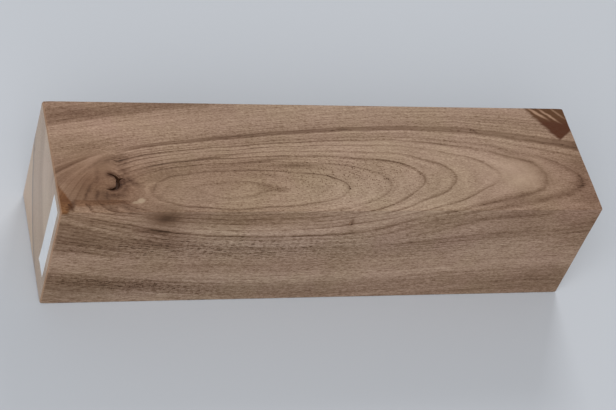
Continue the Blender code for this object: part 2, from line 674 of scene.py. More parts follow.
def build_open_pores():
    """One tube in each cell, some far thinner than others."""
    tree, given, result = open_group(
        "Open pores",
        {**COURSE, "Cell length": "number", "Cell width": "number"},
        {"Pore": "number"},
    )
    cells = cells_along(given, given["Cell length"], given["Cell width"])
    tubes = add_node(tree, "ShaderNodeTexVoronoi", {"Vector": cells, "Scale": 1.0})
    chance = parts_of(Term(tubes.outputs["Color"]))[0]
    size = rise(chance, 0.10, 0.90) * TUBE_RANGE + THINNEST_TUBE
    shell = Term(tubes.outputs["Distance"]) / size
    feed(result.inputs["Pore"], rise(shell, 1.25, 0.55))
    set_out_in_columns(tree)
    return tree


def build_grain_streaks():
    """A noise that is long with the fibres, from about -1 to 1."""
    tree, given, result = open_group(
        "Grain streaks",
        {**COURSE, "Streak length": "number", "Streak width": "number"},
        {"Streak": "number"},
    )
    stretched = cells_along(given, given["Streak length"], given["Streak width"])
    inputs = {"Vector": stretched, "Scale": 1.0, "Detail": 3.0, "Roughness": 0.6}
    texture = add_node(tree, "ShaderNodeTexNoise", inputs)
    feed(result.inputs["Streak"], (Term(texture.outputs["Fac"]) - 0.5) * 4.0)
    set_out_in_columns(tree)
    return tree


OPEN_PORES = build_open_pores()
GRAIN_STREAKS = build_grain_streaks()
print("Groups built:", OPEN_PORES.name, "and", GRAIN_STREAKS.name)

# %% [markdown]
# ## The knot's own figure
# A knot is a branch that the trunk grew round. Its fan of rays came with the growth rings,
# and this group adds what the knot left in the wood round it. There are dark smears and
# lighter strokes, each a slanted spot. A darker rim beside the open check, on its right, is
# painted shade, and it goes out with the smears. Resin followed a seam to an orange stain at
# the corner, where a pocket of bark lies too, and one cream fleck shows where the saw just
# missed the bark.

# %% List the knot's marks
# Each row: mm from the taped end and from the back edge, the mark's lean in degrees, its half
# length and half width in mm, and its strength.
KNOT_SMEARS = (
    (36.6, 48.2, 60, 3.6, 2.8, 0.38),
    (36.4, 42.6, 84, 6, 4, 0.26),
    (35.4, 55.4, 86, 3.4, 1.5, 0.62),
    (38.2, 55, -28, 3.4, 2, 0.50),
    (41, 57.6, -12, 2.8, 1.6, 0.46),
    (35.8, 60.6, 65, 4.4, 1.9, 0.32),
    (29, 65.2, 8, 6, 2.4, 0.36),
    (25.2, 65.4, 80, 2.8, 1.6, 0.44),
    (20.4, 64.4, 82, 3.2, 1.3, 0.40),
    (16.4, 61.4, 62, 2.6, 1.5, 0.28),
    (15, 64.4, 70, 3, 0.9, 0.24),
    (22, 52, 84, 6, 1.2, 0.18),
    (21, 45, 36, 8, 0.9, 0.22),
    (31, 40.6, 16, 7, 0.9, 0.26),
    (27, 43.6, 28, 7, 0.8, 0.14),
    (25, 69.8, 0, 8, 1.3, 0.22),
    (34, 69.6, 2, 5, 1.1, 0.14),
    (27.4, 73.8, -46, 4.6, 1.7, 0.34),
    (34.8, 73.8, -42, 5.4, 1.8, 0.34),
    (39.5, 75.6, -30, 5, 1.3, 0.20),
    (51, 60.6, 62, 4, 0.7, 0.22),
    (56, 62.4, 55, 4, 0.7, 0.16),
)
KNOT_LIGHTS = (
    (3.6, 58.4, 52, 3.2, 1, 0.26),
    (13, 49, 40, 12, 1.1, 0.20),
    (22, 40.4, 31, 9, 1.5, 0.34),
    (12.6, 75, -14, 8, 1.4, 0.08),
    (51, 57.4, 12, 4.6, 1, 0.30),
    (46.8, 60.4, 82, 3.4, 0.9, 0.34),
    (40, 35.4, 2, 14, 1.4, 0.24),
)
print(f"{len(KNOT_SMEARS)} smears and {len(KNOT_LIGHTS)} lighter strokes")

# %% Build the knot figure group
SHADOWED_RIM_MM = 5.0
RIM_FADE_MM = 1.9


def build_knot_figure():
    """What the knot left round it, and painted shade by its check, as masks for the material."""
    tree, given, result = open_group(
        "Knot figure",
        {"Place": "vector", "Wander": "vector"},
        {
            "Smear and painted shade": "number",
            "Light": "number",
            "Resin": "number",
            "Bark": "number",
            "Cream": "number",
        },
    )
    wandering = vector_maths(given["Place"], "ADD", given["Wander"])
    x, y, z = parts_of(wandering)
    from_back = y * -1.0 + HALF_WIDTH_MM
    skin = rise(z, -4.0, -1.5)
    mottle = add_node(tree, "ShaderNodeTexNoise", {"Vector": given["Place"], "Scale": 0.42})
    mottle = rise(Term(mottle.outputs["Fac"]), 0.36, 0.62) * 0.5 + 0.65

    lights = strongest_mark(wandering, KNOT_LIGHTS, on_top)
    smears = strongest_mark(wandering, KNOT_SMEARS, on_top)
    offset = vector_maths(given["Place"], "SUBTRACT", KNOT)
    from_knot = vector_maths(offset, "LENGTH", offset, output="Value")
    # A darker rim on the check's right side is painted shade, and it joins the smears.
    rim = (from_knot - SHADOWED_RIM_MM) / RIM_FADE_MM
    rim = (rim * rim * -1.0).maths("EXPONENT")
    facing_right = rise(parts_of(offset)[0], -3.5, 1.0)
    smears = (smears * mottle).maths("MAXIMUM", rim * facing_right * 0.62)

    # The orange stain is a wedge against the taped end: it widens towards the front, then closes.
    widening = (from_back - 55.6) * 0.46
    closing = (from_back - 68.4) * -0.54 + 8.6
    strip = rise(widening.maths("MINIMUM", closing) - x, -0.7, 1.3) * rise(from_back, 55.2, 58.0)
    strip = strip * rise(z, -2.4, -0.9)
    # The seam is a narrow band of resin in front of the knot, thinner towards the right.
    lower_edge = rise(x, 8.0, 36.0) * -1.8 + 73.0
    seam = rise(from_back, 68.0, 68.7) * rise(from_back - lower_edge, 0.7, -1.1)
    seam = seam * rise(x, 41.0, 30.0) * rise(x, 7.0, 9.0)
    depth_of_stain = rise(x - widening, -3.0, 0.5) * 0.35 + rise(from_back, 60.0, 69.0) * 0.45 + 0.6
    resin = (strip * depth_of_stain).maths("MAXIMUM", seam * 0.54) * skin
    # The bark follows the wandering of the wood by half.
    calmer = vector_maths(given["Wander"], "MULTIPLY", (0.5, 0.5, 0.5))
    calmer = vector_maths(given["Place"], "ADD", calmer)
    bark = rise(slanted_spot(calmer, on_top(6.2, 72.4), 61, 5.0, 2.1), 0.15, 0.9)

    fleck = rise(slanted_spot(wandering, on_top(42.6, 68.9), 30, 2.6, 1.75), 0.25, 0.75)
    tail = rise(slanted_spot(wandering, on_top(40.0, 70.1), 10, 3.0, 1.1), 0.25, 0.85)

    feed(result.inputs["Smear and painted shade"], smears)
    feed(result.inputs["Light"], lights)
    feed(result.inputs["Resin"], resin)
    feed(result.inputs["Bark"], bark * skin)
    feed(result.inputs["Cream"], fleck.maths("MAXIMUM", tail * 0.75) * skin)
    set_out_in_columns(tree)
    return tree


KNOT_FIGURE = build_knot_figure()
print(f"Group built: {KNOT_FIGURE.name}, with {len(KNOT_FIGURE.nodes)} nodes")

# %% [markdown]
# ## Walnut, all the way through
# The material puts the groups together: the place becomes millimetres, a slow noise makes the
# rings wander, the years give a tone, and streaks, pores and the knot change it. Patches that
# the photograph shows lighter or darker are soft spots, and short dark marks along the rings
# are slanted ones. The tone then picks a colour from a ramp that runs from the near-black
# brown of a line to the grey tan of early wood, and a few weak tints shift its hue. What is
# not heartwood lies over it: pale sapwood, resin, and at the far end a dark, striped corner
# that narrows to nothing about twenty millimetres down. The ends are paler and greyer, partly
# as wax leaves them and partly as a painted sheen: the pale surroundings reflected at a low angle.

# %% List the patches
# Each row: mm from the taped end and from the back edge, the patch's reach in x, y and z, and
# how far it lifts or lowers the tone.
TOP_PATCHES = (
    (255, 44, 34, 14, 12, 0.08),
    (164, 52, 40, 16, 10, 0.14),
    (40, 4, 20, 7, 10, 0.06),
    (12, 8, 14, 8, 10, -0.12),
    (296, 42, 12, 9, 8, -0.06),
    (268, 36, 20, 9, 8, -0.10),
    (264, 68, 20, 7, 8, -0.07),
    (214, 48, 16, 9, 8, -0.07),
    (190, 68, 16, 8, 8, -0.04),
    (37, 48, 10, 8, 8, 0.05),
    (286, 12, 24, 9, 10, -0.05),
    (206, 17.6, 40, 3.4, 6, 0.08),
    (274, 24, 24, 4, 6, 0.14),
    (139, 44, 14, 8, 8, -0.05),
    (27, 43, 9, 7, 8, -0.09),
    (14, 54, 9, 8, 8, -0.05),
    (304, 62, 9, 16, 10, -0.10),
    (90, 7, 20, 7, 10, -0.06),
    (26, 31, 26, 8, 8, -0.12),
    (130, 28, 52, 8, 8, -0.06),
    (90, 67, 14, 7, 8, 0.08),
    (36, 66, 12, 8, 8, -0.10),
    (240, 68, 18, 8, 8, -0.08),
    (280, 52, 14, 14, 10, -0.10),
    (55, 28, 34, 8, 10, 0.10),
    (112, 68, 40, 9, 10, 0.18),
    (168, 68, 30, 9, 12, 0.12),
    (228, 28, 28, 8, 10, 0.10),
    (85, 46, 40, 12, 14, -0.20),
    (18, 59, 26, 16, 12, -0.45),
    (54, 50, 14, 10, 12, -0.16),
    (22, 71, 24, 6, 8, -0.14),
    (300, 69, 12, 7, 8, -0.12),
    (34, 42, 12, 4, 6, -0.14),
    (36, 9, 30, 4.5, 10, -0.16),
    (90, 3, 50, 6, 6, -0.18),
    (8, 30, 16, 10, 12, -0.10),
    (11, 74, 7, 3.5, 5, -0.14),
    (1.5, 70, 4, 5, 6, -0.20),
    (190, 6, 70, 9, 12, 0.10),
    (268, 8, 40, 10, 12, -0.04),
    (304, 48, 13, 24, 14, -0.30),
    (265, 70, 40, 6, 6, -0.12),
)
# The same, with mm below the top face in place of mm from the back edge.
FRONT_PATCHES = (
    (15, 24, 34, 16, 10, -0.26),
    (42, 29, 26, 14, 9, -0.12),
    (122, 28, 42, 14, 9, 0.10),
    (204, 28, 30, 14, 8, -0.11),
    (10, 70, 18, 14, 8, -0.19),
    (292, 9, 40, 14, 8, -0.14),
    (102, 9, 34, 14, 7, -0.17),
    (165, 9, 18, 14, 8, 0.09),
    (140, 28, 18, 14, 8, 0.03),
    (303, 28, 18, 14, 9, -0.14),
    (8, 20, 14, 14, 12, -0.14),
    (60, 24, 14, 14, 7, -0.20),
    (124, 26, 34, 14, 8, -0.05),
    (192, 26, 20, 14, 8, -0.06),
    (120, 48, 80, 14, 8, -0.11),
    (172, 8, 26, 12, 8, -0.08),
    (240, 46, 70, 14, 10, -0.07),
    (32, 60.5, 48, 14, 6, -0.17),
    (180, 48, 50, 14, 8, -0.06),
    (280, 70, 54, 14, 9, -0.18),
    (45, 48, 62, 16, 8, -0.20),
    (74, 72, 40, 14, 7, 0.10),
    (94, 7, 60, 12, 9, -0.27),
    (216, 9, 18, 12, 8, -0.10),
    (105, 16, 70, 14, 3.6, 0.12),
    (55, 16.4, 13, 6, 2.2, -0.34),
    (270, 10, 40, 14, 9, -0.10),
    (250, 6, 22, 14, 8, -0.05),
    (215, 66, 75, 20, 13, 0.12),
    (225, 36, 60, 20, 14, 0.07),
    (300, 36, 14, 20, 30, -0.10),
    (54.5, 6, 12.5, 5, 8.4, -0.44),
    (56, 7, 7, 5, 4.8, -0.22),
    (157.6, 11.2, 4, 4, 6, -0.20),
    (158.6, 9.8, 1.1, 3, 2.8, -0.50),
    (160.5, 18, 3, 4, 2.4, -0.20),
    (157, 52, 5, 10, 26, -0.09),
)
# One more shows on the taped end: its centre, its reach and its lift.
END_PATCH = ((0.0, 32.2, -32.5), (3.0, 1.4, 1.4), -0.50)
print(f"{len(TOP_PATCHES)} patches of the top and {len(FRONT_PATCHES)} of the front")

# %% List the short marks
# Short dark marks that lie along the rings, listed as the knot's marks are.
TOP_MARKS = (
    (80, 40.2, 10, 18, 1, 0.46),
    (112, 41.8, 7, 18, 1, 0.34),
    (131, 44.9, 1, 13, 1.3, 0.46),
    (144, 37.4, -4, 10, 1, 0.16),
    (164.7, 18, 0, 4.5, 1, 0.30),
    (204, 52.5, 88, 6, 1, 0.20),
    (117.5, 60, -55, 4, 2, 0.12),
    (88, 61.5, 20, 5, 2, 0.10),
    (98, 23.9, 7, 24, 1.1, 0.34),
    (146, 19.6, 4, 24, 1, 0.18),
    (68, 27, 14, 10, 0.7, 0.24),
    (180, 16.8, 2, 24, 1.1, 0.16),
    (216, 17.8, -2, 20, 1, 0.06),
    (242.6, 18.6, -42, 3.2, 0.8, 0.42),
    (260, 35.2, -25, 13, 1.8, 0.18),
    (280, 66.2, 15, 12, 1.1, 0.20),
)
FRONT_MARKS = (
    (206, 15, 10, 8, 0.8, 0.22),
    (215, 10.8, 10, 12, 0.9, 0.24),
    (253, 20.3, 2, 9, 0.8, 0.20),
    (268, 16.2, 7, 10, 0.8, 0.18),
    (291, 13, 8, 15, 0.8, 0.20),
    (293, 20.3, 7, 13, 0.9, 0.18),
    (54, 16.4, -13, 12, 1.1, 0.34),
    (20, 33.4, -12, 22, 1, 0.26),
    (26, 29, -14, 24, 1, 0.22),
    (60, 29.5, -10, 12, 2, 0.20),
    (112, 32, 0, 40, 0.8, 0.16),
    (94, 35.4, -2, 18, 0.8, 0.26),
)
print(f"{len(TOP_MARKS)} marks of the top and {len(FRONT_MARKS)} of the front")

# %% List the tints and the colours
# Each tint: its centre, its reach, and what it multiplies red, green and blue by.
TINTS = (
    (on_front(152.0, 36.0), (260.0, 10.0, 70.0), (1.045, 1.058, 1.077)),
    (on_front(110.0, 30.0), (75.0, 30.0, 11.0), (0.965, 1.005, 1.035)),
    (on_front(75.0, 66.0), (110.0, 30.0, 14.0), (0.960, 1.0, 1.030)),
    (on_front(30.0, 72.0), (40.0, 20.0, 12.0), (0.995, 1.0, 1.020)),
    (on_front(112.0, 8.0), (28.0, 14.0, 9.0), (1.0, 1.0, 0.950)),
    (on_front(220.0, 28.0), (60.0, 20.0, 10.0), (1.0, 1.0, 1.030)),
    (on_top(20.0, 14.0), (60.0, 24.0, 20.0), (1.035, 0.99, 1.0)),
    (on_top(168.0, 62.0), (50.0, 14.0, 10.0), (0.970, 1.005, 0.985)),
    (on_top(296.0, 60.0), (34.0, 60.0, 34.0), (1.035, 0.99, 1.0)),
    (on_top(100.0, 50.0), (40.0, 18.0, 12.0), (1.005, 1.0, 0.965)),
)
WALNUT_BY_TONE = (
    (0.00, (0.016, 0.006, 0.002)),
    (0.25, (0.060, 0.031, 0.016)),
    (0.50, (0.150, 0.086, 0.052)),
    (0.75, (0.226, 0.144, 0.094)),
    (1.00, (0.298, 0.200, 0.137)),
    (1.25, (0.362, 0.251, 0.178)),
    (1.60, (0.456, 0.326, 0.236)),
)
RESIN_BROWN = (0.66, 0.46, 0.28)
CREAM = (0.365, 0.262, 0.178)
CORNER_BROWN = (0.074, 0.018, 0.004)
CORNER_UPPER_BROWN = (0.104, 0.044, 0.014)
CORNER_STRIPE = (0.360, 0.220, 0.140)
CORNER_STRIPES = (
    (on_top(286.6, 4.2), -41.6, 7.4, 1.15, 1.0),
    (on_top(293.4, 5.6), -45.5, 8.2, 0.95, 0.9),
    (on_top(299.6, 3.8), -50.4, 6.5, 0.85, 0.55),
)
BARK_BROWN = (0.060, 0.020, 0.006)
# Brown of the smears, and of the painted shade beside the check.
SMEAR_AND_SHADE_BROWN = (0.28, 0.18, 0.12)
KNOT_WARMTH = (1.08, 0.98, 0.90)
SAPWOOD_TINT = (1.04, 0.99, 0.92)
# The ends' tint and paler cover: partly wax, and partly painted sheen, a reflection of the pale
# surroundings.
WAXED_END_AND_SHEEN_TINT = (1.72, 1.92, 2.05)
WAXED_END_AND_SHEEN_PALE = (0.500, 0.385, 0.295)
EDGE_BROWN = (0.345, 0.215, 0.140)
BOUNDARY_GREY = (0.215, 0.175, 0.165)
# Near-black of the check's hollow: partly bark left in it, partly painted shade.
HOLLOW_BARK_AND_SHADE_BROWN = (0.046, 0.020, 0.010)
PINKER = (1.01, 0.99, 1.01)
YELLOWER = (0.995, 1.0, 0.975)
print(f"{len(TINTS)} tints, and {len(WALNUT_BY_TONE)} browns from line to early wood")

# %% Find the place in the wood
HALF = (0.5, 0.5, 0.5)
WANDER_SPAN_MM = (2.0, 2.0, 2.0)
RAGGED_GRAIN_MM = (9.0, 2.2, 2.2)
RAGGED_SPAN_MM = (1.6, 1.4, 1.4)

walnut = bpy.data.materials.new("sanded_walnut")
walnut.use_nodes = True
wood = walnut.node_tree
wood_shader = wood.nodes["Principled BSDF"]
coordinates = add_node(wood, "ShaderNodeTexCoord")
metres = Term(coordinates.outputs["Object"])
shifted = vector_maths(metres, "SUBTRACT", (BLANK_LOW.x, 0.0, BLANK_HIGH.z))
place = vector_maths(shifted, "MULTIPLY", (1 / MM, 1 / MM, 1 / MM))
along, aside, above = parts_of(place)

# A slow noise makes the rings wander, and a quick one makes the edges of things ragged.
slow_noise = add_node(wood, "ShaderNodeTexNoise", {"Vector": place, "Scale": 0.035, "Detail": 1.0})
slow_shift = vector_maths(Term(slow_noise.outputs["Color"]), "SUBTRACT", HALF)
wander = vector_maths(slow_shift, "MULTIPLY", WANDER_SPAN_MM)
stretched = vector_maths(place, "DIVIDE", RAGGED_GRAIN_MM)
quick_noise = add_node(wood, "ShaderNodeTexNoise", {"Vector": stretched, "Scale": 1.0, "Detail": 2.0})
quick_shift = vector_maths(Term(quick_noise.outputs["Color"]), "SUBTRACT", HALF)
ragged = vector_maths(quick_shift, "MULTIPLY", RAGGED_SPAN_MM)
crown_axis = slanted_spot(place, on_top(215.0, 54.0), 3.1, 120.0, 9.0)
grown = vector_maths(place, "ADD", wander)
grown = vector_maths(grown, "ADD", vector_maths(quick_shift, "MULTIPLY", crown_axis * -0.45 + 0.6))

# %% Read the rings and set the two courses
rings = use_group(wood, GROWTH_RINGS, {"Place": grown})
ring, bent = rings["Ring"], rings["Bent"]
with_the_years = {"Along": along, "Outwards": ring, "Around": rings["Arc"] * 0.1}
straight = {"Along": along, "Outwards": above, "Around": aside}


def streaks(course, length, width):
    """Streaks of one length and width that follow a course, from about -1 to 1."""
    inputs = {**course, "Streak length": length, "Streak width": width}
    return use_group(wood, GRAIN_STREAKS, inputs)["Streak"]


def open_pores(course, length, width):
    """Pores of one length and width that follow a course, from 0 to 1."""
    inputs = {**course, "Cell length": length, "Cell width": width}
    return use_group(wood, OPEN_PORES, inputs)["Pore"]


# %% Lay out the streaks and the regions
broad_streaks = streaks(with_the_years, 110.0, 3.2)
fine_streaks = streaks(with_the_years, 55.0, 1.0)
fan_streaks = streaks(with_the_years, 60.0, 1.7)
hair_streaks = streaks(straight, 7.0, 0.5)
speckle = streaks(straight, 1.5, 0.6)
clouds = streaks(straight, 34.0, 10.0)

# Each region is a place where the lines, the streaks or the pores are not as elsewhere. On
# the top, crown is the middle of the ovals, and the tips and the arm are at their right ends.
# Closing is where the ovals end beside the knot, and calm is the smooth hood behind it. On
# the front, busy has more pores, dull is the dark spot at the edge, and golden is next to it.
crown = soft_spot(place, on_top(155.0, 52.0), (58.0, 15.0, 20.0))
closing = soft_spot(place, on_top(50.0, 61.0), (24.0, 10.5, 20.0))
calm = rise(soft_spot(place, on_top(25.5, 45.0), (8.0, 8.0, 12.0)), 0.1, 0.9)
hood_edge = slanted_spot(place, on_top(30.0, 36.2), 15, 11.0, 2.8)
tip = soft_spot(place, on_top(262.0, 50.0), (20.0, 14.0, 16.0))
far_tip = soft_spot(place, on_top(278.0, 50.0), (15.0, 16.0, 12.0))
far_arm = slanted_spot(place, on_top(248.0, 65.6), 15, 26.0, 5.0)
last_tip = soft_spot(place, on_top(298.0, 55.0), (7.0, 9.0, 8.0))
second_tip = soft_spot(place, on_top(153.0, 58.0), (9.0, 8.0, 6.0))
turning = bent * bent.flipped() * 4.0
busy = soft_spot(place, on_front(84.0, 31.0), (74.0, 12.0, 9.0))
dull = soft_spot(place, on_front(54.5, 6.0), (10.0, 6.0, 7.0))
golden = soft_spot(place, on_front(92.0, 7.0), (40.0, 8.0, 6.0))

# %% Work out the tone of the years and the patches
# The dark lines are bolder in some regions and quieter in others, but never quite gone.
line_strength = clouds * 0.8 + 1.0 + busy * 0.4 + second_tip * 0.9 + last_tip * 0.4
quiet = closing * 0.8 + calm * 0.6 + bent * 0.4 + dull * 0.8 + turning * 0.8
quiet = quiet + golden * 0.5 + far_tip * 0.25 + far_arm * 0.35 + hood_edge * 0.6
line_strength = (line_strength * quiet.flipped()).maths("MAXIMUM", 0.06)
year_inputs = {"Ring": ring, "Line strength": line_strength, "Sharpness": crown_axis * 3.6 + 1.0}
years = use_group(wood, YEAR_TONE, year_inputs)
tone = years["Tone"]
# Just behind the knot and in its fan the years differ less.
level = (bent * 0.5).maths("MAXIMUM", calm * 0.6)
tone = tone * level.flipped() + level * 0.95
for face, rows in ((on_top, TOP_PATCHES), (on_front, FRONT_PATCHES)):
    for from_end, across, *reach, lift in rows:
        tone = tone + soft_spot(grown, face(from_end, across), reach) * lift
centre, reach, lift = END_PATCH
tone = tone + soft_spot(grown, centre, reach) * lift

# %% Draw the band, the streaks and the marks
marks_of_top = strongest_mark(grown, TOP_MARKS, on_top)
marks_of_front = strongest_mark(grown, FRONT_MARKS, on_front)
marks = marks_of_top.maths("MAXIMUM", marks_of_front)
knot = use_group(wood, KNOT_FIGURE, {"Place": place, "Wander": ragged})
# Streaks fade round the knot and in the dark spot of the front edge.
still = (calm * 0.6 + dull * 0.7 + closing * 0.3).flipped()
# Near the top face one band of years is darker, but not along the edge of the knot's hood.
upper_band = rise(ring, 39.4, 40.3) * rise(ring, 43.2, 41.8) * rise(above, -14.0, -3.0)
upper_band = upper_band * hood_edge.flipped()
tone = tone * (upper_band * (fine_streaks * 0.7 + speckle * 0.5 + 1.0) * 0.31).flipped()
tone = tone * ((broad_streaks * 0.10 + fine_streaks * 0.17) * still + 1.0)
tone = tone * (fan_streaks * bent * 0.16 * still + 1.0)
speckled = (bent * 0.6 + tip * 0.7).flipped() * still
hairs = hair_streaks * (crown * -0.5 + 1.0) * 0.28
coarse = soft_spot(place, on_front(150.0, 34.0), (110.0, 14.0, 30.0))
tone = tone * ((hairs + speckle * (coarse * 0.12 + 0.38)) * speckled + 1.0)
tone = tone * (marks * (fine_streaks * 0.5 + 1.0)).flipped()
# The smears and the painted shade beside the check darken the tone; the lighter strokes lift it.
tone = tone * (knot["Smear and painted shade"] * -0.35 + 1.0) + knot["Light"] * 0.75

# %% Open the pores
# The front has a speckled band low on its left.
lower_band = slanted_spot(place, on_front(52.0, 61.0), -9, 62.0, 6.5)
dashes = open_pores(straight, 3.6, 0.7)
dots = open_pores(straight, 1.2, 0.8)
dots = dots * (crown * 0.60 + lower_band * 0.30 + busy * 0.20 + 0.15)
blots = rise(streaks(straight, 2.8, 1.0), -0.1, 0.7) * (lower_band * 0.56 + busy * 0.20)
dashes = dashes * (busy * 0.45 + 0.28)
pores = (dashes + dots + blots) * (years["Line"] * 1.2 + years["Porous"]) * speckled
tone = tone * pores.flipped().maths("MAXIMUM", 0.2)

# %% Turn the tone into colour
def tinted(colour, mask, tint):
    """The colour multiplied by a tint, where the mask is."""
    return blend(wood, mask, colour, (*tint, 1.0), "MULTIPLY")


def covered(colour, mask, cover):
    """The colour with another laid over it, where the mask is."""
    return blend(wood, mask, colour, (*cover, 1.0))


colour = ramp(tone, WALNUT_BY_TONE)
hue_noise = add_node(wood, "ShaderNodeTexNoise", {"Vector": grown, "Scale": 0.035, "Detail": 2.0})
hue = rise(Term(hue_noise.outputs["Fac"]), 0.35, 0.65)
colour = tinted(colour, hue, PINKER)
colour = tinted(colour, hue.flipped(), YELLOWER)
for centre, reach, tint in TINTS:
    colour = tinted(colour, soft_spot(place, centre, reach), tint)
warm = soft_spot(place, on_top(22.0, 58.0), (26.0, 20.0, 10.0))
colour = tinted(colour, warm, KNOT_WARMTH)

sapwood = rise(ring, 99.8, 100.4)
colour = tinted(colour, sapwood, SAPWOOD_TINT)
colour = tinted(colour, knot["Smear and painted shade"] * 1.5, SMEAR_AND_SHADE_BROWN)
colour = tinted(colour, knot["Resin"], RESIN_BROWN)
colour = covered(colour, knot["Bark"] * 0.76, BARK_BROWN)
colour = covered(colour, knot["Cream"], CREAM)

# %% Stain the dark corner
# Two slanted, ragged edges bound the stain, and close in on each other with depth.
from_back = aside * -1.0 + HALF_WIDTH_MM
ragged_x, ragged_y = parts_of(ragged)[:2]
left_side = along - from_back * 0.60 - 279.6 + above * 1.20 + ragged_x * 2.2
right_side = (along - 296.0) * -0.82 + 24.0 - from_back + above * 0.90 + ragged_y * 0.5
dark_corner = rise(left_side, -1.9, 1.7) * rise(right_side, -0.9, 0.8)
crooked = vector_maths(place, "ADD", vector_maths(ragged, "MULTIPLY", (0.9, 0.9, 0.9)))
stripes = None
for centre, lean, half_length, half_width, strength in CORNER_STRIPES:
    stripe = rise(slanted_spot(crooked, centre, lean, half_length, half_width), 0.1, 0.95) * strength
    stripes = stripe if stripes is None else stripes.maths("MAXIMUM", stripe)
upper = rise(from_back + ragged_y * 2.0, 13.0, 6.0)
corner_tone = blend(wood, upper * 0.8, (*CORNER_BROWN, 1.0), (*CORNER_UPPER_BROWN, 1.0))
corner_tone = covered(corner_tone, (hair_streaks * 0.5 + 0.5) * 0.35, BARK_BROWN)
corner_tone = covered(corner_tone, stripes, CORNER_STRIPE)
colour = blend(wood, dark_corner * 0.96, colour, corner_tone)

# %% Finish the ends, the edges and the check
facing = parts_of(Term(coordinates.outputs["Normal"]))[0].maths("ABSOLUTE")
end_grain = rise(facing, 0.75, 0.98)
# The end colour is paler and greyer: partly wax, and partly painted sheen, the pale surroundings
# reflected at a low angle.
waxed_end_and_sheen_colour = covered(tinted(colour, 1.0, WAXED_END_AND_SHEEN_TINT), 0.45, WAXED_END_AND_SHEEN_PALE)
boundary = (ring - 99.4) / 1.9
boundary = (boundary * boundary * -1.0).maths("EXPONENT")
waxed_end_and_sheen_colour = covered(waxed_end_and_sheen_colour, boundary * 0.62, BOUNDARY_GREY)
colour = blend(wood, end_grain, colour, waxed_end_and_sheen_colour)
eased_edge = rise(facing, 0.12, 0.5) * rise(facing, 0.99, 0.9)
colour = covered(colour, eased_edge * 0.7, EDGE_BROWN)

# Below the top face inside the check the wood is near-black: partly bark left in it, and partly
# painted shade in the hollow.
inside_check = soft_spot(place, KNOT, (9.0, 9.0, 9.0))
hollow = rise(above, -0.08, -0.5) * rise(inside_check, 0.3, 0.4)
colour = covered(colour, hollow, HOLLOW_BARK_AND_SHADE_BROWN)

# %% Set the wood's shader
feed(wood_shader.inputs["Base Color"], colour)
feed(wood_shader.inputs["Roughness"], pores * 0.5 + fine_streaks * 0.04 + end_grain * -0.22 + 0.56)
feed(wood_shader.inputs["Coat Weight"], end_grain * 0.15)
wood_shader.inputs["Coat Roughness"].default_value = 0.30
wood_shader.inputs["Specular IOR Level"].default_value = 0.10
bump = add_node(
    wood,
    "ShaderNodeBump",
    {"Height": pores * -1.0 + hair_streaks * 0.25, "Distance": 0.00012, "Strength": 0.6},
)
feed(wood_shader.inputs["Normal"], bump.outputs["Normal"])
set_out_in_columns(wood)
print(f"The walnut has {len(wood.nodes)} nodes of its own and {len(bpy.data.node_groups)} groups")

# %% [markdown]
# ## The billet's mesh
# A planed face is flat, so the visual mesh only differs from the CAD one where hands have been:
# the edges. They were broken with sandpaper, a little more at the ends, and never quite evenly.
# A box drawn as a lattice, with its lines bunched where the faces meet, can be rounded point by
# point: a point moves to its distance from a smaller box inside, by a radius that drifts.

# %% Lay out the lattice of the billet
EDGE_RADIUS = 0.6 * MM
END_RADIUS = 1.2 * MM
END_ZONE = 5.0 * MM
LATTICE_SPACING = 2.5 * MM
EDGE_LINES_MM = (0.0, 0.12, 0.3, 0.5, 0.75, 1.05, 1.5, 2.1)
SLOW_DRIFT = 0.22
QUICK_DRIFT = 0.12
HALF_SIZES = Vector((LENGTH / 2, WIDTH / 2, HEIGHT / 2))


def lattice_lines(half):
    """Where the mesh lines cross one side: bunched near its edges, even in between."""
    near_edge = [half - line * MM for line in EDGE_LINES_MM]
    inner = near_edge[-1]
    count = round(2 * inner / LATTICE_SPACING)
    middle = [-inner + 2 * inner * step / count for step in range(1, count)]
    return [-line for line in near_edge] + middle + near_edge[::-1]


def eased(point):
    """Moves a point of the square box onto the hand-broken edge, never outwards."""
    to_end = HALF_SIZES.x - abs(point.x)
    nearness = max(0.0, 1.0 - to_end / END_ZONE)
    radius = EDGE_RADIUS + (END_RADIUS - EDGE_RADIUS) * nearness * nearness
    slow, quick = noise.noise(point / (18 * MM)), noise.noise(point / (4 * MM))
    radius *= 1.0 + SLOW_DRIFT * slow + QUICK_DRIFT * quick
    limits = [half - radius for half in HALF_SIZES]
    inner = Vector(max(-limit, min(limit, value)) for limit, value in zip(limits, point))
    return inner + (point - inner).normalized() * radius


def billet_shape():
    """The closed skin of the lattice, as a bmesh."""
    shape = bmesh.new()
    lines = [lattice_lines(half) for half in HALF_SIZES]
    last = [len(line) - 1 for line in lines]
    corners = {}

    def corner(index):
        if index not in corners:
            point = Vector(lines[axis][index[axis]] for axis in range(3))
            corners[index] = shape.verts.new(eased(point))
        return corners[index]

    for axis in range(3):
        first, second = (axis + 1) % 3, (axis + 2) % 3
        for side in (0, last[axis]):
            for a in range(last[first]):
                for b in range(last[second]):
                    steps = ((a, b), (a + 1, b), (a + 1, b + 1), (a, b + 1))
                    quad = []
                    for step_a, step_b in steps if side else steps[::-1]:
                        index = [0, 0, 0]
                        index[axis], index[first], index[second] = side, step_a, step_b
                        quad.append(corner(tuple(index)))
                    shape.faces.new(quad)
    bmesh.ops.translate(shape, verts=shape.verts, vec=(0.0, 0.0, HEIGHT / 2))
    return shape


# %% [markdown]
# ## The open check and the pin holes
# The dead knot shrank away from the wood on one side, and left a crescent that a fingernail
# can feel. Its rim is uneven and a short crack leaves it towards the middle of the blank. The
# cutter is a strip of rings: each ring is the check's section at one angle round the knot,
# thick at the middle and nothing at the two horns. Three small pits join it, where the tips of
# dead twigs fell out. One Boolean then takes all of them out of the billet.

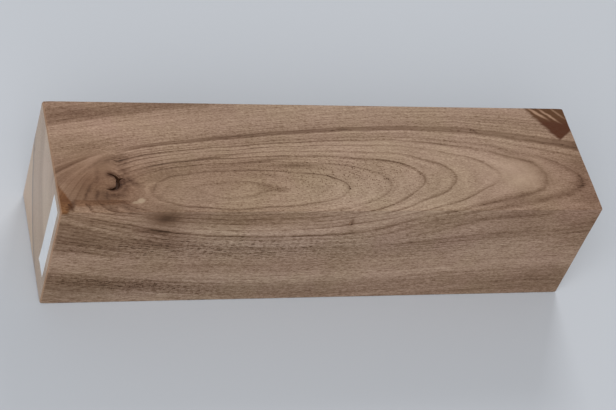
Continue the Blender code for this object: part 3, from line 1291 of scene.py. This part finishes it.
# %% Shape the cutters
CHECK_OUTER_MM = 5.4
CHECK_WIDTH_MM = 2.2
CHECK_DEPTH_MM = 1.8
CHECK_FROM, CHECK_TO = math.radians(100.0), math.radians(-124.0)
CHECK_STATIONS = 90
CRACK_ANGLE = math.radians(19.0)
CRACK_LENGTH_MM = 2.3
# Each pit: its centre, and its half size in x, y and z, in mm.
PITS = (
    (on_top(156.0, 69.8), (0.75, 0.35, 0.7)),
    (on_top(241.2, 17.8), (1.2, 0.5, 0.7)),
    (on_front(157.4, 10.8), (0.6, 0.7, 1.2)),
)


def check_section(share):
    """The check's four corners at one share of the way round, outer rim first."""
    angle = CHECK_FROM + (CHECK_TO - CHECK_FROM) * share
    rim_noise = noise.noise(Vector((share * 9.0, 2.0, 0.0)))
    core_noise = noise.noise(Vector((share * 11.0, 7.0, 0.0)))
    crack = CRACK_LENGTH_MM * math.exp(-(((angle - CRACK_ANGLE) / math.radians(4.0)) ** 2))
    # The outer rim is drawn in a little on the right, where the crack leaves it.
    waist = math.exp(-(((angle + math.radians(5.0)) / math.radians(26.0)) ** 2))
    outer = CHECK_OUTER_MM + 0.3 - 0.75 * waist + 0.15 * rim_noise + crack
    width = CHECK_WIDTH_MM * math.sin(math.pi * min(max(share, 0.0), 1.0)) ** 0.6
    inner = outer - crack - max(width + 0.20 * core_noise, 0.05)
    points = []
    for radius, z in ((outer, 1.0), (outer, 0.0), (outer - 0.25, -CHECK_DEPTH_MM)):
        points.append((radius, z))
    for radius, z in ((inner + 0.25, -CHECK_DEPTH_MM), (inner, 0.0), (inner, 1.0)):
        points.append((min(radius, outer - 0.3), z))
    direction = Vector((math.cos(angle), math.sin(angle), 0.0))
    middle = Vector(KNOT)
    return [in_scene(middle + direction * radius + Vector((0.0, 0.0, z))) for radius, z in points]


def cutter_shape():
    """The check and the pits, as one bmesh of separate closed shells."""
    shape = bmesh.new()
    before = None
    for station in range(CHECK_STATIONS + 1):
        ring_of_verts = [shape.verts.new(point) for point in check_section(station / CHECK_STATIONS)]
        if before is None:
            shape.faces.new(ring_of_verts)
        else:
            for index in range(len(ring_of_verts)):
                after = (index + 1) % len(ring_of_verts)
                quad = (before[index], before[after], ring_of_verts[after], ring_of_verts[index])
                shape.faces.new(quad)
        before = ring_of_verts
    shape.faces.new(before[::-1])
    for centre, reach in PITS:
        size = Matrix.Diagonal(Vector((*[value * MM for value in reach], 1.0)))
        spot = Matrix.Translation(in_scene(centre)) @ size
        bmesh.ops.create_icosphere(shape, subdivisions=3, radius=1.0, matrix=spot)
    bmesh.ops.recalc_face_normals(shape, faces=shape.faces)
    return shape


def mesh_object(name, shape):
    """Makes a scene object from a bmesh, and frees the bmesh."""
    mesh = bpy.data.meshes.new(name)
    shape.to_mesh(mesh)
    shape.free()
    made = bpy.data.objects.new(name, mesh)
    bpy.context.scene.collection.objects.link(made)
    return made


# %% Cut the billet and give it the walnut
def apply_modifiers(piece):
    """Writes the modifiers' result into the piece's own mesh."""
    bpy.context.view_layer.update()
    graph = bpy.context.evaluated_depsgraph_get()
    finished = bpy.data.meshes.new_from_object(piece.evaluated_get(graph))
    piece.modifiers.clear()
    piece.data = finished


billet = mesh_object("walnut_billet", billet_shape())
cutter = mesh_object("check_cutter", cutter_shape())
billet.data.materials.append(walnut)
cut = billet.modifiers.new("open_check", "BOOLEAN")
cut.operation = "DIFFERENCE"
cut.solver = "EXACT"
cut.object = cutter
apply_modifiers(billet)
bpy.data.objects.remove(cutter, do_unlink=True)
billet.data.set_sharp_from_angle(angle=math.radians(32.0))
for polygon in billet.data.polygons:
    polygon.use_smooth = True
billet.modifiers.new("flat_faces", "WEIGHTED_NORMAL").keep_sharp = True
apply_modifiers(billet)
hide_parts("blank")
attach(billet, "root")
print(f"The billet has {len(billet.data.polygons)} faces")

# %% [markdown]
# ## The paper tape
# A strip of white paper tape is stuck on one end, pressed flat except for a corner that has
# begun to lift. Paper has no single colour either: fibres cloud it, and it is smoother than
# it looks. The strip is a thin grid with a front, a back and a rim, so it has an edge that
# catches the light.

# %% Shape the tape
LABEL_CENTRE = (LABEL_LOW + LABEL_HIGH) / 2
TAPE_WIDTH = 12.0 * MM
TAPE_LENGTH = 54.5 * MM
TAPE_THICKNESS = 0.18 * MM
TAPE_TILT = math.radians(1.5)
TAPE_ACROSS, TAPE_ALONG = 12, 54


def tape_lift(across, along_tape):
    """How far the tape stands off the wood; across and along run from -1 to 1."""
    lifted_corner = max(0.0, (across + 1) / 2 + (1 - along_tape) / 2 - 1.72) ** 2 * 3.2
    ripple = 0.015 * (1 + noise.noise(Vector((across * 1.5, along_tape * 4.0, 3.0))))
    return min(0.03 + ripple + lifted_corner, 0.30) * MM


def tape_shape():
    """The strip of tape as a closed bmesh."""
    shape = bmesh.new()
    sheets = []
    for outwards in (0.0, TAPE_THICKNESS):
        rows = []
        for step_along in range(TAPE_ALONG + 1):
            row = []
            for step_across in range(TAPE_ACROSS + 1):
                across = 2 * step_across / TAPE_ACROSS - 1
                along_tape = 2 * step_along / TAPE_ALONG - 1
                y = across * TAPE_WIDTH / 2
                z = along_tape * TAPE_LENGTH / 2
                x = BLANK_LOW.x - tape_lift(across, along_tape) - outwards
                turned_y = y * math.cos(TAPE_TILT) - z * math.sin(TAPE_TILT)
                turned_z = y * math.sin(TAPE_TILT) + z * math.cos(TAPE_TILT)
                point = (x, LABEL_CENTRE.y + turned_y, LABEL_CENTRE.z + turned_z)
                row.append(shape.verts.new(point))
            rows.append(row)
        sheets.append(rows)
    for rows in sheets:
        for low_row, high_row in zip(rows, rows[1:]):
            for a in range(TAPE_ACROSS):
                shape.faces.new((low_row[a], low_row[a + 1], high_row[a + 1], high_row[a]))
    back, front = sheets
    for a in range(TAPE_ACROSS):
        for end in (0, TAPE_ALONG):
            shape.faces.new((back[end][a], back[end][a + 1], front[end][a + 1], front[end][a]))
    for b in range(TAPE_ALONG):
        for side in (0, TAPE_ACROSS):
            shape.faces.new((back[b][side], back[b + 1][side], front[b + 1][side], front[b][side]))
    bmesh.ops.recalc_face_normals(shape, faces=shape.faces)
    return shape


tape = mesh_object("paper_tape", tape_shape())
tape.data.set_sharp_from_angle(angle=math.radians(40.0))
for polygon in tape.data.polygons:
    polygon.use_smooth = True
print(f"The tape is {TAPE_WIDTH / MM:.0f} x {TAPE_LENGTH / MM:.1f} mm")

# %% Mix the paper
PAPER_WHITE = (0.80, 0.83, 0.86, 1.0)
PAPER_SHADE = (0.72, 0.75, 0.79, 1.0)

paper = bpy.data.materials.new("label_paper")
paper.use_nodes = True
pulp = paper.node_tree
paper_shader = pulp.nodes["Principled BSDF"]
paper_coordinates = add_node(pulp, "ShaderNodeTexCoord")
paper_metres = Term(paper_coordinates.outputs["Object"])
clouds = add_node(pulp, "ShaderNodeTexNoise", {"Vector": paper_metres, "Scale": 160.0, "Detail": 4.0})
fibres = add_node(
    pulp,
    "ShaderNodeTexNoise",
    {"Vector": paper_metres, "Scale": 2200.0, "Detail": 3.0, "Distortion": 1.2},
)
cloud = rise(Term(clouds.outputs["Fac"]), 0.3, 0.7)
fibre_height = Term(fibres.outputs["Fac"])
paper_colour = blend(pulp, cloud * 0.6 + fibre_height * 0.3, PAPER_WHITE, PAPER_SHADE)
feed(paper_shader.inputs["Base Color"], paper_colour)
feed(paper_shader.inputs["Roughness"], fibre_height * 0.2 + 0.55)
paper_bump = add_node(
    pulp, "ShaderNodeBump", {"Height": fibre_height, "Distance": 0.00003, "Strength": 0.5}
)
feed(paper_shader.inputs["Normal"], paper_bump.outputs["Normal"])
set_out_in_columns(pulp)
tape.data.materials.append(paper)
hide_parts("end_label")
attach(tape, "root")
